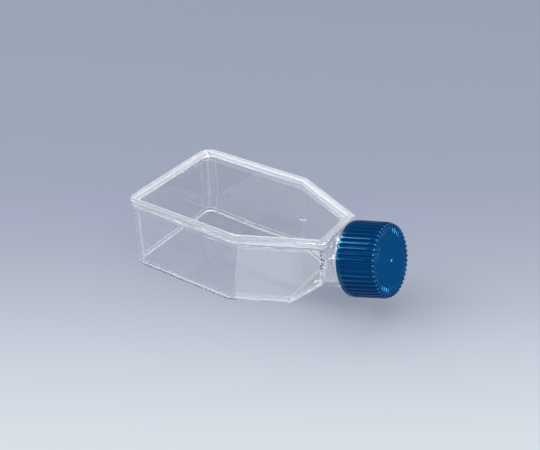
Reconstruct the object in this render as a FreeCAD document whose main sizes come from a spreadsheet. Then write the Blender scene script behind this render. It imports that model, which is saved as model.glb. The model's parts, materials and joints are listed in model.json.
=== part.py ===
"""Cell culture flask, 25 cm2 class: a clear moulded tray with a canted neck, its welded top plate
and a ribbed screw cap.

Frame: millimetres, +Z up. The origin is on the underside of the floor, in the middle of the flask's
width and at the middle of the rectangular part of the growth area. +X points towards the cap.
Lengths along the flask are measured from the rear edge of the stacking rim, so the tray and the
plate are drawn in that frame and each Body's Placement moves them back to the origin. The cap is
drawn about its own axis, with its open end at zero, and its Placement tilts it onto the neck.
"""
import FreeCAD, Part
import math
import os
import Sketcher

DIMENSIONS = [
    ("origin_setback", 22.0, "rear edge of the rim to the origin"),
    ("rim_width", 50.0, "width over the stacking rim"),
    ("flask_height", 28.7, "floor underside to the top of the rim"),
    ("rim_length", 76.4, "rear edge of the rim to its front edge"),
    ("rim_taper_start", 48.2, "where the rim starts to narrow towards the neck"),
    ("taper_slope", 0.4955, "sideways travel of each tapered side per unit of length"),
    ("rim_corner", 5.5, "radius of the rim's two rear corners"),
    ("rim_height", 2.1, "height of the rim's outer face"),
    ("rim_band", 2.8, "width of the rim's flat top"),
    ("rim_rounding", 0.35, "rounding of the rim's top edges"),
    ("rim_overhang", 0.4, "how far the rim stands out past the weld"),
    ("recess_depth", 2.0, "top of the rim down to the plate"),
    ("plate_thickness", 0.9, "thickness of the top plate"),
    ("flange_thickness", 0.8, "thickness of the tray's weld flange"),
    ("wall", 1.2, "thickness of the tray's walls and floor"),
    ("wall_inset", 0.8, "rim edge to the side wall at the weld"),
    ("rear_inset", 0.5, "rim edge to the upright rear wall"),
    ("side_draft", 0.7, "draft of the side walls, in degrees"),
    ("wall_taper_start", 50.0, "start of the tapered walls at the weld"),
    ("taper_draft", 3.6, "draft of the tapered walls, in degrees"),
    ("turn_height", 4.0, "height where the tapered walls turn in under the flask"),
    ("turn_under", 1.2, "how far they turn in"),
    ("wall_front", 75.8, "rear edge of the rim to the front wall"),
    ("wall_corner", 5.0, "radius of the tray's two rear corners"),
    ("outer_rounding", 0.8, "outer rounding where the walls meet the floor and the ramp"),
    ("inner_rounding", 1.8, "inner rounding at the same edges"),
    ("ramp_start", 64.0, "where the floor ends and the ramp begins"),
    ("ramp_slope", 0.9, "rise of the ramp per unit of length"),
    ("neck_tilt", 17.6, "upward tilt of the neck, in degrees"),
    ("cap_seat_along", 83.0, "rear edge of the rim to the centre of the cap's open end"),
    ("cap_seat_height", 18.9, "height of the centre of the cap's open end"),
    ("neck_radius", 10.3, "outer radius of the neck under its thread"),
    ("bore_radius", 8.3, "inner radius of the neck"),
    ("lip_rounding", 0.4, "bevel round the lip of the neck"),
    ("lip_station", 12.2, "cap's open end to the lip of the neck, along the axis"),
    ("neck_root", 20.0, "cap's open end back to where the neck starts in the flask"),
    ("collar_radius", 10.9, "outer radius of the collar below the thread"),
    ("collar_station", -2.4, "middle of the collar, along the axis from the cap's open end"),
    ("collar_width", 1.0, "length of the collar along the axis"),
    ("gate_along", 60.6, "rear edge of the rim to the plate's gate mark"),
    ("gate_across", 1.75, "gate mark's distance to the side of the flask's middle"),
    ("gate_radius", 1.2, "outer radius of the gate mark"),
    ("gate_line", 0.2, "width of the gate mark's raised line"),
    ("gate_rise", 0.12, "height of the gate mark above the plate"),
    ("cap_length", 13.8, "open end of the cap to its front face"),
    ("cap_open_radius", 13.35, "radius over the ribs at the open end"),
    ("cap_shoulder_radius", 13.0, "radius over the ribs at the shoulder"),
    ("cap_face_radius", 12.45, "radius of the front face at its edge"),
    ("cap_shoulder", 1.5, "length of the shoulder along the axis"),
    ("cap_band", 1.9, "length of the smooth band at the open end"),
    ("rib_depth", 0.5, "depth of the grooves between the ribs"),
    ("rib_gap", 1.25, "width of each groove at the ribs' crests"),
    ("rib_gap_floor", 0.75, "width of each groove at its floor"),
    ("rib_count", 44, "ribs round the cap"),
    ("face_disc_radius", 9.7, "radius of the smooth disc on the front face"),
    ("face_ring_depth", 0.25, "depth of the ring that surrounds the disc"),
    ("face_ring_edge", 11.85, "outer radius of that ring"),
    ("cap_bore", 11.4, "inner radius of the cap's skirt"),
    ("tooth_width", 0.45, "width of each radial tooth in that ring"),
    ("tooth_height", 0.2, "height of each tooth above the ring's floor"),
    ("plug_radius", 8.25, "outer radius of the plug seal, a running fit in the neck"),
    ("plug_wall", 1.0, "thickness of the plug seal's wall"),
    ("plug_length", 3.2, "length of the plug seal below the neck's lip"),
    ("nib_radius", 0.45, "radius of the moulding nib in the middle of the front face"),
    ("nib_height", 0.25, "height of the moulding nib"),
]

SKETCHING_RADIUS = 20.0

doc = FreeCAD.newDocument("culture_flask")
sheet = doc.addObject("Spreadsheet::Sheet", "Sizes")
for row, (alias, value, note) in enumerate(DIMENSIONS, start=1):
    sheet.set("A%d" % row, alias)
    sheet.set("B%d" % row, str(value))
    sheet.set("C%d" % row, note)
    sheet.setAlias("B%d" % row, alias)
doc.recompute()


def size(alias):
    """Value of one driving dimension, in the sheet's own units."""
    return float(sheet.get(alias))


def expr(text):
    """Turn sheet aliases written as $name into references to the sheet."""
    return text.replace("$", "Sizes.")


def make_body(label):
    """One PartDesign Body, which becomes one sub-part."""
    body = doc.addObject("PartDesign::Body", label)
    body.Label = label
    return body


def make_sketch(body, name, plane, lift="0"):
    """A sketch on one of the body's own origin planes, moved along its normal by an expression."""
    sketch = body.newObject("Sketcher::SketchObject", name)
    support = next(item for item in body.Origin.OriginFeatures if item.Role == plane)
    sketch.AttachmentSupport = (support, [""])
    sketch.MapMode = "FlatFace"
    sketch.setExpression("AttachmentOffset.Base.z", expr(lift))
    return sketch


def pin_point(sketch, geometry, vertex, place, across, up):
    """Hold one vertex, drawn at place, to two expressions measured from the sketch's origin."""
    for kind, drawn, text in (("DistanceX", place.x, across), ("DistanceY", place.y, up)):
        if text == "0":
            axis = -2 if kind == "DistanceX" else -1
            sketch.addConstraint(Sketcher.Constraint("PointOnObject", geometry, vertex, axis))
        else:
            index = sketch.addConstraint(Sketcher.Constraint(kind, -1, 1, geometry, vertex, drawn))
            sketch.setExpression("Constraints[%d]" % index, expr(text))


def draw_polygon(sketch, corners):
    """A closed polygon whose corners are pairs of expressions.

    It is drawn as a regular polygon, and its constraints pull every corner to its own place.
    """
    places = []
    for number in range(len(corners)):
        angle = 2 * math.pi * number / len(corners) + 0.3
        places.append(FreeCAD.Vector(SKETCHING_RADIUS * math.cos(angle),
                                     SKETCHING_RADIUS * math.sin(angle), 0))
    lines = []
    for here, following in zip(places, places[1:] + places[:1]):
        lines.append(sketch.addGeometry(Part.LineSegment(here, following)))
    for line, following in zip(lines, lines[1:] + lines[:1]):
        sketch.addConstraint(Sketcher.Constraint("Coincident", line, 2, following, 1))
    for line, place, (across, up) in zip(lines, places, corners):
        pin_point(sketch, line, 1, place, across, up)
    return lines


def draw_circle(sketch, across, up, radius):
    """A circle with its centre and radius bound to expressions."""
    centre = FreeCAD.Vector(1, 1, 0)
    circle = sketch.addGeometry(Part.Circle(centre, FreeCAD.Vector(0, 0, 1), SKETCHING_RADIUS))
    pin_point(sketch, circle, 3, centre, across, up)
    index = sketch.addConstraint(Sketcher.Constraint("Radius", circle, SKETCHING_RADIUS))
    sketch.setExpression("Constraints[%d]" % index, expr(radius))


def flask_outline(rear, half_width, taper_start, front):
    """Corners of the flask's six-sided plan, all given as expressions."""
    front_half = "%s - $taper_slope * (%s - (%s))" % (half_width, front, taper_start)
    return [(rear, "-(%s)" % half_width), (taper_start, "-(%s)" % half_width),
            (front, "-(%s)" % front_half), (front, front_half),
            (taper_start, half_width), (rear, half_width)]


def pick_edges(feature, wanted):
    """Names of the feature's edges whose two ends both satisfy a test."""
    names = []
    for number, edge in enumerate(feature.Shape.Edges, start=1):
        ends = [vertex.Point for vertex in edge.Vertexes]
        if len(ends) == 2 and wanted(*ends):
            names.append("Edge%d" % number)
    if not names:
        raise RuntimeError("no edge found for " + feature.Name)
    return names


def round_edges(body, name, base, edges, radius):
    """Fillet the named edges of a feature by an expression."""
    fillet = body.newObject("PartDesign::Fillet", name)
    fillet.Base = (base, edges)
    fillet.setExpression("Radius", expr(radius))
    doc.recompute()
    return fillet


def make_axial_sketch(body, name):
    """A sketch whose X axis is the neck's axis, with zero at the cap's open end."""
    sketch = make_sketch(body, name, "XZ_Plane")
    sketch.AttachmentOffset = FreeCAD.Placement(
        FreeCAD.Vector(), FreeCAD.Rotation(FreeCAD.Vector(0, 0, 1), 1))
    sketch.setExpression("AttachmentOffset.Base.x", expr("$cap_seat_along"))
    sketch.setExpression("AttachmentOffset.Base.y", expr("$cap_seat_height"))
    sketch.setExpression("AttachmentOffset.Rotation.Angle", expr("$neck_tilt"))
    return sketch


def add_feature(body, kind, name, profile, **settings):
    """A PartDesign feature on a profile, with text settings bound as expressions."""
    feature = body.newObject("PartDesign::" + kind, name)
    feature.Profile = profile
    for setting, value in settings.items():
        if isinstance(value, str) and setting in ("Length", "Angle"):
            feature.setExpression(setting, expr(value))
        else:
            setattr(feature, setting, value)
    doc.recompute()
    return feature


WELD_HEIGHT = "($flask_height - $recess_depth - $plate_thickness)"
MITER = "(sqrt(1 + $taper_slope ^ 2) - 1) / $taper_slope"
NEAR = 1e-4


def pick_faces(feature, wanted):
    """Names of the feature's flat faces whose outward normal and centre satisfy a test."""
    names = []
    for number, face in enumerate(feature.Shape.Faces, start=1):
        if isinstance(face.Surface, Part.Plane) and wanted(face.normalAt(0, 0), face.CenterOfMass):
            names.append("Face%d" % number)
    if not names:
        raise RuntimeError("no face found for " + feature.Name)
    return names


def add_draft(body, name, base, faces, angle):
    """Draft the named faces inwards below the top face, which keeps its size."""
    top = pick_faces(base, lambda normal, centre: normal.z > 1 - NEAR)
    draft = body.newObject("PartDesign::Draft", name)
    draft.Base = (base, faces)
    draft.NeutralPlane = (base, top)
    draft.setExpression("Angle", expr(angle))
    doc.recompute()
    if draft.Shape.Volume > base.Shape.Volume:
        draft.Reversed = not draft.Reversed
        doc.recompute()
    return draft


def vessel_form(label, inset, corner_rounding, underside_rounding):
    """The tray's outline as one solid with its ramp, drawn in by an inset from its outer faces."""
    body = make_body(label)
    plan = make_sketch(body, label + "_plan", "XY_Plane", WELD_HEIGHT)
    half_width = "($rim_width / 2 - $wall_inset - %s)" % inset
    start = "($wall_taper_start - %s * %s)" % (MITER, inset)
    draw_polygon(plan, flask_outline("$rear_inset + %s" % inset, half_width, start,
                                     "($wall_front - %s)" % inset))
    block = add_feature(body, "Pad", label + "_block", plan, Reversed=True,
                        Length="%s - %s" % (WELD_HEIGHT, inset))
    straight = add_draft(body, label + "_side_draft", block, pick_faces(
        block, lambda normal, centre: abs(normal.y) > 1 - NEAR), "$side_draft")
    tapered = add_draft(body, label + "_taper_draft", straight, pick_faces(
        straight, lambda normal, centre: normal.x > NEAR and abs(normal.y) > 0.5), "$taper_draft")

    spread = "sqrt($turn_under ^ 2 + $turn_height ^ 2)"
    share = "(1 - %s * ($turn_under + $turn_height - %s) / ($turn_under * $turn_height))" % (
        inset, spread)
    turn = body.newObject("PartDesign::Chamfer", label + "_turn_in")
    turn.Base = (tapered, pick_edges(tapered, is_taper_foot))
    turn.ChamferType = "Two distances"
    turn.setExpression("Size", expr("$turn_height * " + share))
    turn.setExpression("Size2", expr("$turn_under * " + share))
    doc.recompute()

    ramp = make_sketch(body, label + "_ramp", "XZ_Plane")
    foot = "($ramp_start - %s * (sqrt(1 + $ramp_slope ^ 2) - 1) / $ramp_slope)" % inset
    below, beyond = "(%s - $wall)" % inset, "($wall_front + $wall)"
    draw_polygon(ramp, [("%s - $wall / $ramp_slope" % foot, below), (beyond, below),
                        (beyond, "%s + (%s - %s) * $ramp_slope" % (inset, beyond, foot))])
    cut = add_feature(body, "Pocket", label + "_ramp_cut", ramp, Midplane=True,
                      Length="2 * $rim_width")
    if cut.Shape.Volume >= turn.Shape.Volume:
        raise RuntimeError("the ramp cuts nothing from " + label)
    corners = round_edges(body, label + "_corners", cut,
                          pick_edges(cut, is_rear_upright), corner_rounding)
    round_edges(body, label + "_underside", corners,
                pick_edges(corners, is_underside), underside_rounding)
    return body


def is_taper_foot(start, end):
    """True for the long bottom edges of the two tapered walls."""
    level = abs(start.z - end.z) < NEAR and start.z < size("turn_height")
    return level and abs(start.x - end.x) > 10 and abs(start.y - end.y) > 5


def is_rear_upright(start, end):
    """True for the two upright edges at the rear."""
    rear = size("rear_inset") + size("wall") + 1
    return max(start.x, end.x) < rear and start.y * end.y > 0


def is_underside(start, end):
    """True for the edges all round the floor, and for the ramp's edges up to the front wall."""
    floor = size("wall") + NEAR
    at_floor = start.z < floor and end.z < floor and abs(start.z - end.z) < NEAR
    low, high = sorted((start, end), key=lambda point: point.z)
    beside_ramp = (low.x > size("ramp_start") - size("wall") and high.x > low.x + NEAR
                   and abs(high.y) < abs(low.y) and low.y * high.y > 0)
    return at_floor or beside_ramp


def make_flask_body():
    """The clear tray: floor, walls, ramp, weld flange and canted neck, moulded as one piece."""
    outer = vessel_form("tray_form", "0", "$wall_corner", "$outer_rounding")
    flange = make_sketch(outer, "flange_plan", "XY_Plane", WELD_HEIGHT)
    draw_polygon(flange, flask_outline(*weld_outline()))
    rim = add_feature(outer, "Pad", "flange", flange, Length="$flange_thickness", Reversed=True)
    corner = "$rim_corner - $rim_overhang"
    rim = round_edges(outer, "flange_corners", rim, pick_edges(rim, is_flange_corner), corner)

    neck = make_axial_sketch(outer, "neck_profile")
    slope = "$collar_radius - $neck_radius"
    draw_polygon(neck, [
        ("-$neck_root", "0"), ("$lip_station", "0"),
        ("$lip_station", "$neck_radius - $lip_rounding"),
        ("$lip_station - $lip_rounding", "$neck_radius"),
        ("$collar_station + $collar_width / 2 + (%s)" % slope, "$neck_radius"),
        ("$collar_station + $collar_width / 2", "$collar_radius"),
        ("$collar_station - $collar_width / 2", "$collar_radius"),
        ("$collar_station - $collar_width / 2 - (%s)" % slope, "$neck_radius"),
        ("-$neck_root", "$neck_radius")])
    tube = add_feature(outer, "Revolution", "neck", neck, ReferenceAxis=(neck, ["H_Axis"]),
                       Angle="360")

    seat = make_sketch(outer, "plate_seat_plan", "XY_Plane", WELD_HEIGHT)
    draw_polygon(seat, [("$wall_front / 2", "-$rim_width"), ("$rim_length", "-$rim_width"),
                        ("$rim_length", "$rim_width"), ("$wall_front / 2", "$rim_width")])
    trimmed = add_feature(outer, "Pocket", "plate_seat", seat, Length="$flask_height",
                          Reversed=True)
    if trimmed.Shape.Volume >= tube.Shape.Volume:
        raise RuntimeError("the plate's seat cuts nothing")

    inner = vessel_form("chamber_form", "$wall", "$wall_corner - $wall", "$inner_rounding")
    bore = make_axial_sketch(inner, "bore_profile")
    draw_polygon(bore, [("-$neck_root", "0"), ("$lip_station + $wall", "0"),
                        ("$lip_station + $wall", "$bore_radius"), ("-$neck_root", "$bore_radius")])
    add_feature(inner, "Revolution", "bore", bore, ReferenceAxis=(bore, ["H_Axis"]), Angle="360")

    tray = doc.addObject("Part::Cut", "flask_body")
    tray.Label = "flask_body"
    tray.Base = outer
    tray.Tool = inner
    tray.setExpression("Placement.Base.x", expr("-$origin_setback"))
    doc.recompute()
    return tray


def weld_outline():
    """Rear, half width, taper start and front of the weld's outline, inside the rim's edge."""
    return ("$rim_overhang", "($rim_width / 2 - $rim_overhang)",
            "($rim_taper_start - %s * $rim_overhang)" % MITER, "($rim_length - $rim_overhang)")


def is_flange_corner(start, end):
    """True for the weld outline's two rear corners, upright through the flange."""
    return (abs(start.x - size("rim_overhang")) < NEAR and start.y * end.y > 0
            and abs(start.z - end.z) > NEAR and abs(start.x - end.x) < NEAR)


def make_top_plate():
    """The flat cover that is welded on the tray, with the raised rim that flasks stack in."""
    body = make_body("top_plate")
    plan = make_sketch(body, "plate_plan", "XY_Plane", WELD_HEIGHT)
    draw_polygon(plan, flask_outline(*weld_outline()))
    plate = add_feature(body, "Pad", "plate", plan, Length="$plate_thickness")
    plate = round_edges(body, "plate_corners", plate, pick_edges(plate, is_flange_corner),
                        "$rim_corner - $rim_overhang")

    ring = make_sketch(body, "rim_plan", "XY_Plane", "$flask_height")
    for inset in ("0", "$rim_band"):
        draw_polygon(ring, flask_outline(
            inset, "($rim_width / 2 - %s)" % inset,
            "($rim_taper_start - %s * %s)" % (MITER, inset), "($rim_length - %s)" % inset))
    rim = add_feature(body, "Pad", "rim", ring, Length="$rim_height", Reversed=True)
    rim = round_edges(body, "rim_corners", rim, pick_edges(rim, is_outer_rim_corner),
                      "$rim_corner")
    rim = round_edges(body, "rim_inner_corners", rim, pick_edges(rim, is_inner_rim_corner),
                      "$rim_corner - $rim_band")
    top = size("flask_height")
    crests = pick_edges(rim, lambda a, b: min(a.z, b.z) > top - NEAR)
    round_edges(body, "rim_crests", rim, crests, "$rim_rounding")

    gate = make_sketch(body, "gate_plan", "XY_Plane", "$flask_height - $recess_depth")
    for radius in ("$gate_radius", "($gate_radius - $gate_line)"):
        draw_circle(gate, "$gate_along", "$gate_across", radius)
    add_feature(body, "Pad", "gate_mark", gate, Length="$gate_rise")
    body.setExpression("Placement.Base.x", expr("-$origin_setback"))
    doc.recompute()
    return body


def is_outer_rim_corner(start, end):
    """True for the upright edges at the rim's two outer rear corners."""
    upright = abs(start.x - end.x) < NEAR and abs(start.y - end.y) < NEAR
    return upright and abs(start.x) < NEAR


def is_inner_rim_corner(start, end):
    """True for the upright edges at the rim's two inner rear corners."""
    upright = abs(start.x - end.x) < NEAR and abs(start.y - end.y) < NEAR
    return upright and abs(start.x - size("rim_band")) < NEAR


def make_screw_cap():
    """The ribbed cap: skirt, top with a plug seal inside, ribs, and the toothed ring in its face."""
    body = make_body("screw_cap")
    profile = make_sketch(body, "cap_profile", "XZ_Plane")
    ring_floor = "$cap_length - $face_ring_depth"
    draw_polygon(profile, [
        ("$cap_bore", "0"), ("$cap_open_radius", "0"),
        ("$cap_shoulder_radius", "$cap_length - $cap_shoulder"),
        ("$cap_face_radius", "$cap_length"), ("$face_ring_edge", "$cap_length"),
        ("$face_ring_edge", ring_floor), ("$face_disc_radius", ring_floor),
        ("$face_disc_radius", "$cap_length"), ("$nib_radius", "$cap_length"),
        ("$nib_radius", "$cap_length + $nib_height"), ("0", "$cap_length + $nib_height"),
        ("0", "$lip_station"), ("$plug_radius - $plug_wall", "$lip_station"),
        ("$plug_radius - $plug_wall", "$lip_station - $plug_length"),
        ("$plug_radius", "$lip_station - $plug_length"), ("$plug_radius", "$lip_station"),
        ("$cap_bore", "$lip_station")])
    blank = add_feature(body, "Revolution", "cap_blank", profile,
                        ReferenceAxis=(profile, ["V_Axis"]), Angle="360")

    pitch = "($cap_open_radius - $cap_shoulder_radius) / ($cap_length - $cap_shoulder)"
    ends = []
    for name, station in (("groove_foot", "$cap_band"), ("groove_head", "($cap_length + 1)")):
        sketch = make_sketch(body, name, "XY_Plane", station)
        crest = "($cap_open_radius - %s * %s)" % (pitch, station)
        floor = "(%s - $rib_depth)" % crest
        beyond = "(%s + $rib_depth)" % crest
        flare = "($rib_gap - $rib_gap_floor)"
        draw_polygon(sketch, [
            (floor, "-$rib_gap_floor / 2"), (beyond, "-$rib_gap_floor / 2 - %s" % flare),
            (beyond, "$rib_gap_floor / 2 + %s" % flare), (floor, "$rib_gap_floor / 2")])
        ends.append(sketch)
    groove = add_feature(body, "SubtractiveLoft", "groove", ends[0], Sections=ends[1:],
                         Ruled=True)
    ribs = repeat_round(body, "ribs", groove)
    if not ribs.Shape.Volume < groove.Shape.Volume < blank.Shape.Volume:
        raise RuntimeError("the grooves between the ribs cut nothing")

    tooth_plan = make_sketch(body, "tooth_plan", "XY_Plane", ring_floor)
    draw_polygon(tooth_plan, [
        ("$face_disc_radius - $tooth_width", "-$tooth_width / 2"),
        ("$face_ring_edge + $tooth_width / 2", "-$tooth_width / 2"),
        ("$face_ring_edge + $tooth_width / 2", "$tooth_width / 2"),
        ("$face_disc_radius - $tooth_width", "$tooth_width / 2")])
    tooth = add_feature(body, "Pad", "face_tooth", tooth_plan, Length="$tooth_height")
    repeat_round(body, "face_teeth", tooth)

    body.Placement = FreeCAD.Placement(FreeCAD.Vector(),
                                       FreeCAD.Rotation(FreeCAD.Vector(0, 1, 0), 1))
    body.setExpression("Placement.Rotation.Angle", expr("90 - $neck_tilt"))
    body.setExpression("Placement.Base.x", expr("$cap_seat_along - $origin_setback"))
    body.setExpression("Placement.Base.z", expr("$cap_seat_height"))
    doc.recompute()
    return body


def repeat_round(body, name, feature):
    """Repeat a feature round the cap's axis, once for each rib."""
    pattern = body.newObject("PartDesign::PolarPattern", name)
    pattern.Originals = [feature]
    pattern.Axis = (next(item for item in body.Origin.OriginFeatures if item.Role == "Z_Axis"),
                    [""])
    pattern.setExpression("Occurrences", expr("$rib_count"))
    body.Tip = pattern
    doc.recompute()
    return pattern


def check_and_export(parts):
    """Stop at any failed object or bad shape, then write one STEP file for each sub-part."""
    doc.recompute()
    for item in doc.Objects:
        if "Invalid" in item.State or "Error" in item.State:
            raise RuntimeError("%s failed: %s" % (item.Name, item.State))
    os.makedirs("parts", exist_ok=True)
    for part in parts:
        shape = part.Shape
        if shape.isNull() or not shape.isValid() or len(shape.Solids) != 1:
            raise RuntimeError("bad shape: " + part.Label)
    for part in parts:
        part.Shape.exportStep(os.path.join("parts", part.Label + ".step"))
        box = part.Shape.BoundBox
        print("%-12s %9.1f mm3  x %.2f..%.2f  y %.2f..%.2f  z %.2f..%.2f" % (
            part.Label, part.Shape.Volume, box.XMin, box.XMax, box.YMin, box.YMax,
            box.ZMin, box.ZMax))


check_and_export([make_flask_body(), make_top_plate(), make_screw_cap()])
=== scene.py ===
"""Looks of a small cell culture flask, built round its packed construction model.

The flask lies on its floor with its neck towards +X. The clear tray is the construction's own node and
only gets its finish here. The welded plate is a copy of its node, parted from the tray by a film of air.
The ribbed cap is turned and grooved anew, and the fine screw threads, which the construction leaves out,
are swept along helices. Lengths are metres, but for the fields of classes that say millimetres. The
neck's axis leans up from +X by the same tilt as the joint that the cap slides on.
"""
import json
import logging
import math
from dataclasses import dataclass
from enum import Enum
from typing import Callable, NamedTuple, Sequence, Union

import bmesh
import bpy
from mathutils import Matrix, Vector


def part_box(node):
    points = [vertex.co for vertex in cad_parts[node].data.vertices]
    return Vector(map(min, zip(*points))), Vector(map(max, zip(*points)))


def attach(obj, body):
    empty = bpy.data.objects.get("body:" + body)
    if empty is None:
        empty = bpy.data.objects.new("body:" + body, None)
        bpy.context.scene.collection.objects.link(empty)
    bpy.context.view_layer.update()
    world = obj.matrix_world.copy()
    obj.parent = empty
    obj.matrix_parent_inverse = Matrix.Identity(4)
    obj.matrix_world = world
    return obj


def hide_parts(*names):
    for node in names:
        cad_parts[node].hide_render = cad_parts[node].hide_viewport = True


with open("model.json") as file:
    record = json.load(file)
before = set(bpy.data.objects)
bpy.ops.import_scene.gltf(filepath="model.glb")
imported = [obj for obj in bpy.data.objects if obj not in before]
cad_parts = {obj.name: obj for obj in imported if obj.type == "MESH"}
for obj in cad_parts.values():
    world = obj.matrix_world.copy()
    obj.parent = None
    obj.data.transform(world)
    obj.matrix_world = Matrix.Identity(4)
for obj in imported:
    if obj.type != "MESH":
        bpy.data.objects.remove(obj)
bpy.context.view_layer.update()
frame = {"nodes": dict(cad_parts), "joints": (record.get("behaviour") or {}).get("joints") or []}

MM = 0.001
SEAT = Vector((61.0, 0.0, 18.9)) * MM  # centre of the cap's open end, with the cap closed
TAPER_SLOPE = 0.4955  # sideways travel of the tapered sides for each unit of length
LOG = logging.getLogger("culture_flask")

Colour = tuple[float, float, float]
Span = tuple[float, float]
Input = Union[float, Sequence[float], "Signal", bpy.types.NodeSocket]


def linear(red: int, green: int, blue: int) -> Colour:
    """Scene-linear colour of an 8-bit display colour.

    Args:
        red: its red, from 0 to 255.
        green: its green.
        blue: its blue.

    Returns:
        The colour, each part from 0 to 1.
    """
    def one(level: int) -> float:
        """One part of the colour."""
        share = level / 255
        return share / 12.92 if share <= 0.04045 else ((share + 0.055) / 1.055) ** 2.4
    return one(red), one(green), one(blue)


def new_object(name: str, data: bpy.types.ID) -> bpy.types.Object:
    """Put an object in the scene, at the origin."""
    thing = bpy.data.objects.new(name, data)
    bpy.context.scene.collection.objects.link(thing)
    return thing


def settle(piece: bpy.types.Object) -> None:
    """Replace a piece's mesh by what its modifiers make of it, and remove them.

    Args:
        piece: the piece.
    """
    depsgraph = bpy.context.evaluated_depsgraph_get()
    mesh = bpy.data.meshes.new_from_object(piece.evaluated_get(depsgraph), depsgraph=depsgraph)
    piece.modifiers.clear()
    piece.data = mesh
    mesh.name = piece.name


def smooth(mesh: bpy.types.Mesh, crease: float) -> None:
    """Shade smoothly, with edges above this angle in degrees kept sharp."""
    mesh.polygons.foreach_set("use_smooth", [True] * len(mesh.polygons))
    mesh.set_sharp_from_angle(angle=math.radians(crease))


class Signal:
    """A number that a node tree works out: Python's operators add the Math nodes."""

    def __init__(self, graph: "Graph", socket: bpy.types.NodeSocket) -> None:
        """Wrap one output socket of a graph."""
        self.graph = graph
        self.socket = socket

    def _math(self, operation: str, *operands: Input) -> "Signal":
        """Add one Math node with this graph."""
        node = self.graph.add("ShaderNodeMath", {"operation": operation}, dict(enumerate(operands)))
        return Signal(self.graph, node.outputs[0])

    def __add__(self, other: Input) -> "Signal":
        """Sum."""
        return self._math("ADD", self, other)

    __radd__ = __add__

    def __sub__(self, other: Input) -> "Signal":
        """Difference."""
        return self._math("SUBTRACT", self, other)

    def __rsub__(self, other: Input) -> "Signal":
        """Difference, from the left operand."""
        return self._math("SUBTRACT", other, self)

    def __mul__(self, other: Input) -> "Signal":
        """Product."""
        return self._math("MULTIPLY", self, other)

    __rmul__ = __mul__

    def __truediv__(self, other: Input) -> "Signal":
        """Quotient."""
        return self._math("DIVIDE", self, other)

    def __abs__(self) -> "Signal":
        """Size without its sign."""
        return self._math("ABSOLUTE", self)

    def root(self) -> "Signal":
        """Square root."""
        return self._math("SQRT", self)

    def exponential(self) -> "Signal":
        """e to the power of this value."""
        return self._math("EXPONENT", self)

    def fraction(self) -> "Signal":
        """What follows the decimal point."""
        return self._math("FRACT", self)

    def larger(self, other: Input) -> "Signal":
        """The larger of two values."""
        return self._math("MAXIMUM", self, other)

    def smaller(self, other: Input) -> "Signal":
        """The smaller of two values."""
        return self._math("MINIMUM", self, other)

    def above(self, other: Input) -> "Signal":
        """1 where this value is above the other, else 0."""
        return self._math("GREATER_THAN", self, other)

    def heading(self, other: Input) -> "Signal":
        """Angle in radians whose sine is this value and whose cosine is the other."""
        return self._math("ARCTAN2", self, other)

    def step(self, low: Input, high: Input) -> "Signal":
        """Smooth step from 0 at low to 1 at high.

        Args:
            low: up to where it is 0.
            high: from where on it is 1.

        Returns:
            The step.
        """
        node = self.graph.add("ShaderNodeMapRange", {"interpolation_type": "SMOOTHSTEP"},
                              {0: self, 1: low, 2: high})
        return Signal(self.graph, node.outputs[0])

    def fall(self, low: Input, high: Input) -> "Signal":
        """Smooth step from 1 at low to 0 at high."""
        return 1 - self.step(low, high)

    def lines(self, places: Sequence[Span]) -> "Signal":
        """Straight lines through these places, each a value and what it becomes.

        Args:
            places: at most 32 pairs, in rising order of the value.

        Returns:
            A value between 0 and 1.
        """
        stops = [(place, (level, level, level)) for place, level in places]
        return Signal(self.graph, self.graph.ramp(self, stops))


class Graph:
    """A node tree that is filled through one method."""

    def __init__(self, tree: bpy.types.NodeTree) -> None:
        """Start from an empty tree."""
        self.tree = tree
        tree.nodes.clear()

    def add(self, kind: str, settings: dict[str, object] | None = None,
            inputs: dict[int | str, Input] | None = None) -> bpy.types.Node:
        """Add one node.

        Args:
            kind: the node's type.
            settings: properties, which are set first.
            inputs: values, links or signals for its sockets, by name or number.

        Returns:
            The node.
        """
        node = self.tree.nodes.new(kind)
        for name, value in (settings or {}).items():
            setattr(node, name, value)
        for key, value in (inputs or {}).items():
            if isinstance(value, Signal):
                value = value.socket
            if isinstance(value, bpy.types.NodeSocket):
                self.tree.links.new(value, node.inputs[key])
            else:
                node.inputs[key].default_value = value
        return node

    def ramp(self, value: Signal, stops: Sequence[tuple[float, Colour]]) -> bpy.types.NodeSocket:
        """Blend from colour to colour as a value rises.

        Args:
            value: the value.
            stops: at most 32, each a value and its colour, in rising order.

        Returns:
            The colour.
        """
        first, last = stops[0][0], stops[-1][0]
        node = self.add("ShaderNodeValToRGB", inputs={0: (value - first) / (last - first)})
        elements = node.color_ramp.elements
        while len(elements) < len(stops):
            elements.new(0.5)
        for element, (place, colour) in zip(elements, stops):
            element.position = (place - first) / (last - first)
            element.color = (*colour, 1)
        return node.outputs[0]

    def either(self, share: Signal, first: Input, second: Input) -> bpy.types.NodeSocket:
        """Mix two shaders: the second has this share."""
        return self.add("ShaderNodeMixShader", inputs={0: share, 1: first, 2: second}).outputs[0]

    def ray(self, kind: str) -> Signal:
        """1 for rays of one kind, such as Is Shadow Ray, else 0."""
        return Signal(self, self.add("ShaderNodeLightPath").outputs[kind])

    def mirrored(self) -> Signal:
        """1 for mirrored rays, else 0. A refracted ray counts as glossy too, and is left out here."""
        return self.ray("Is Glossy Ray") * (1 - self.ray("Is Transmission Ray"))


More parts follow.
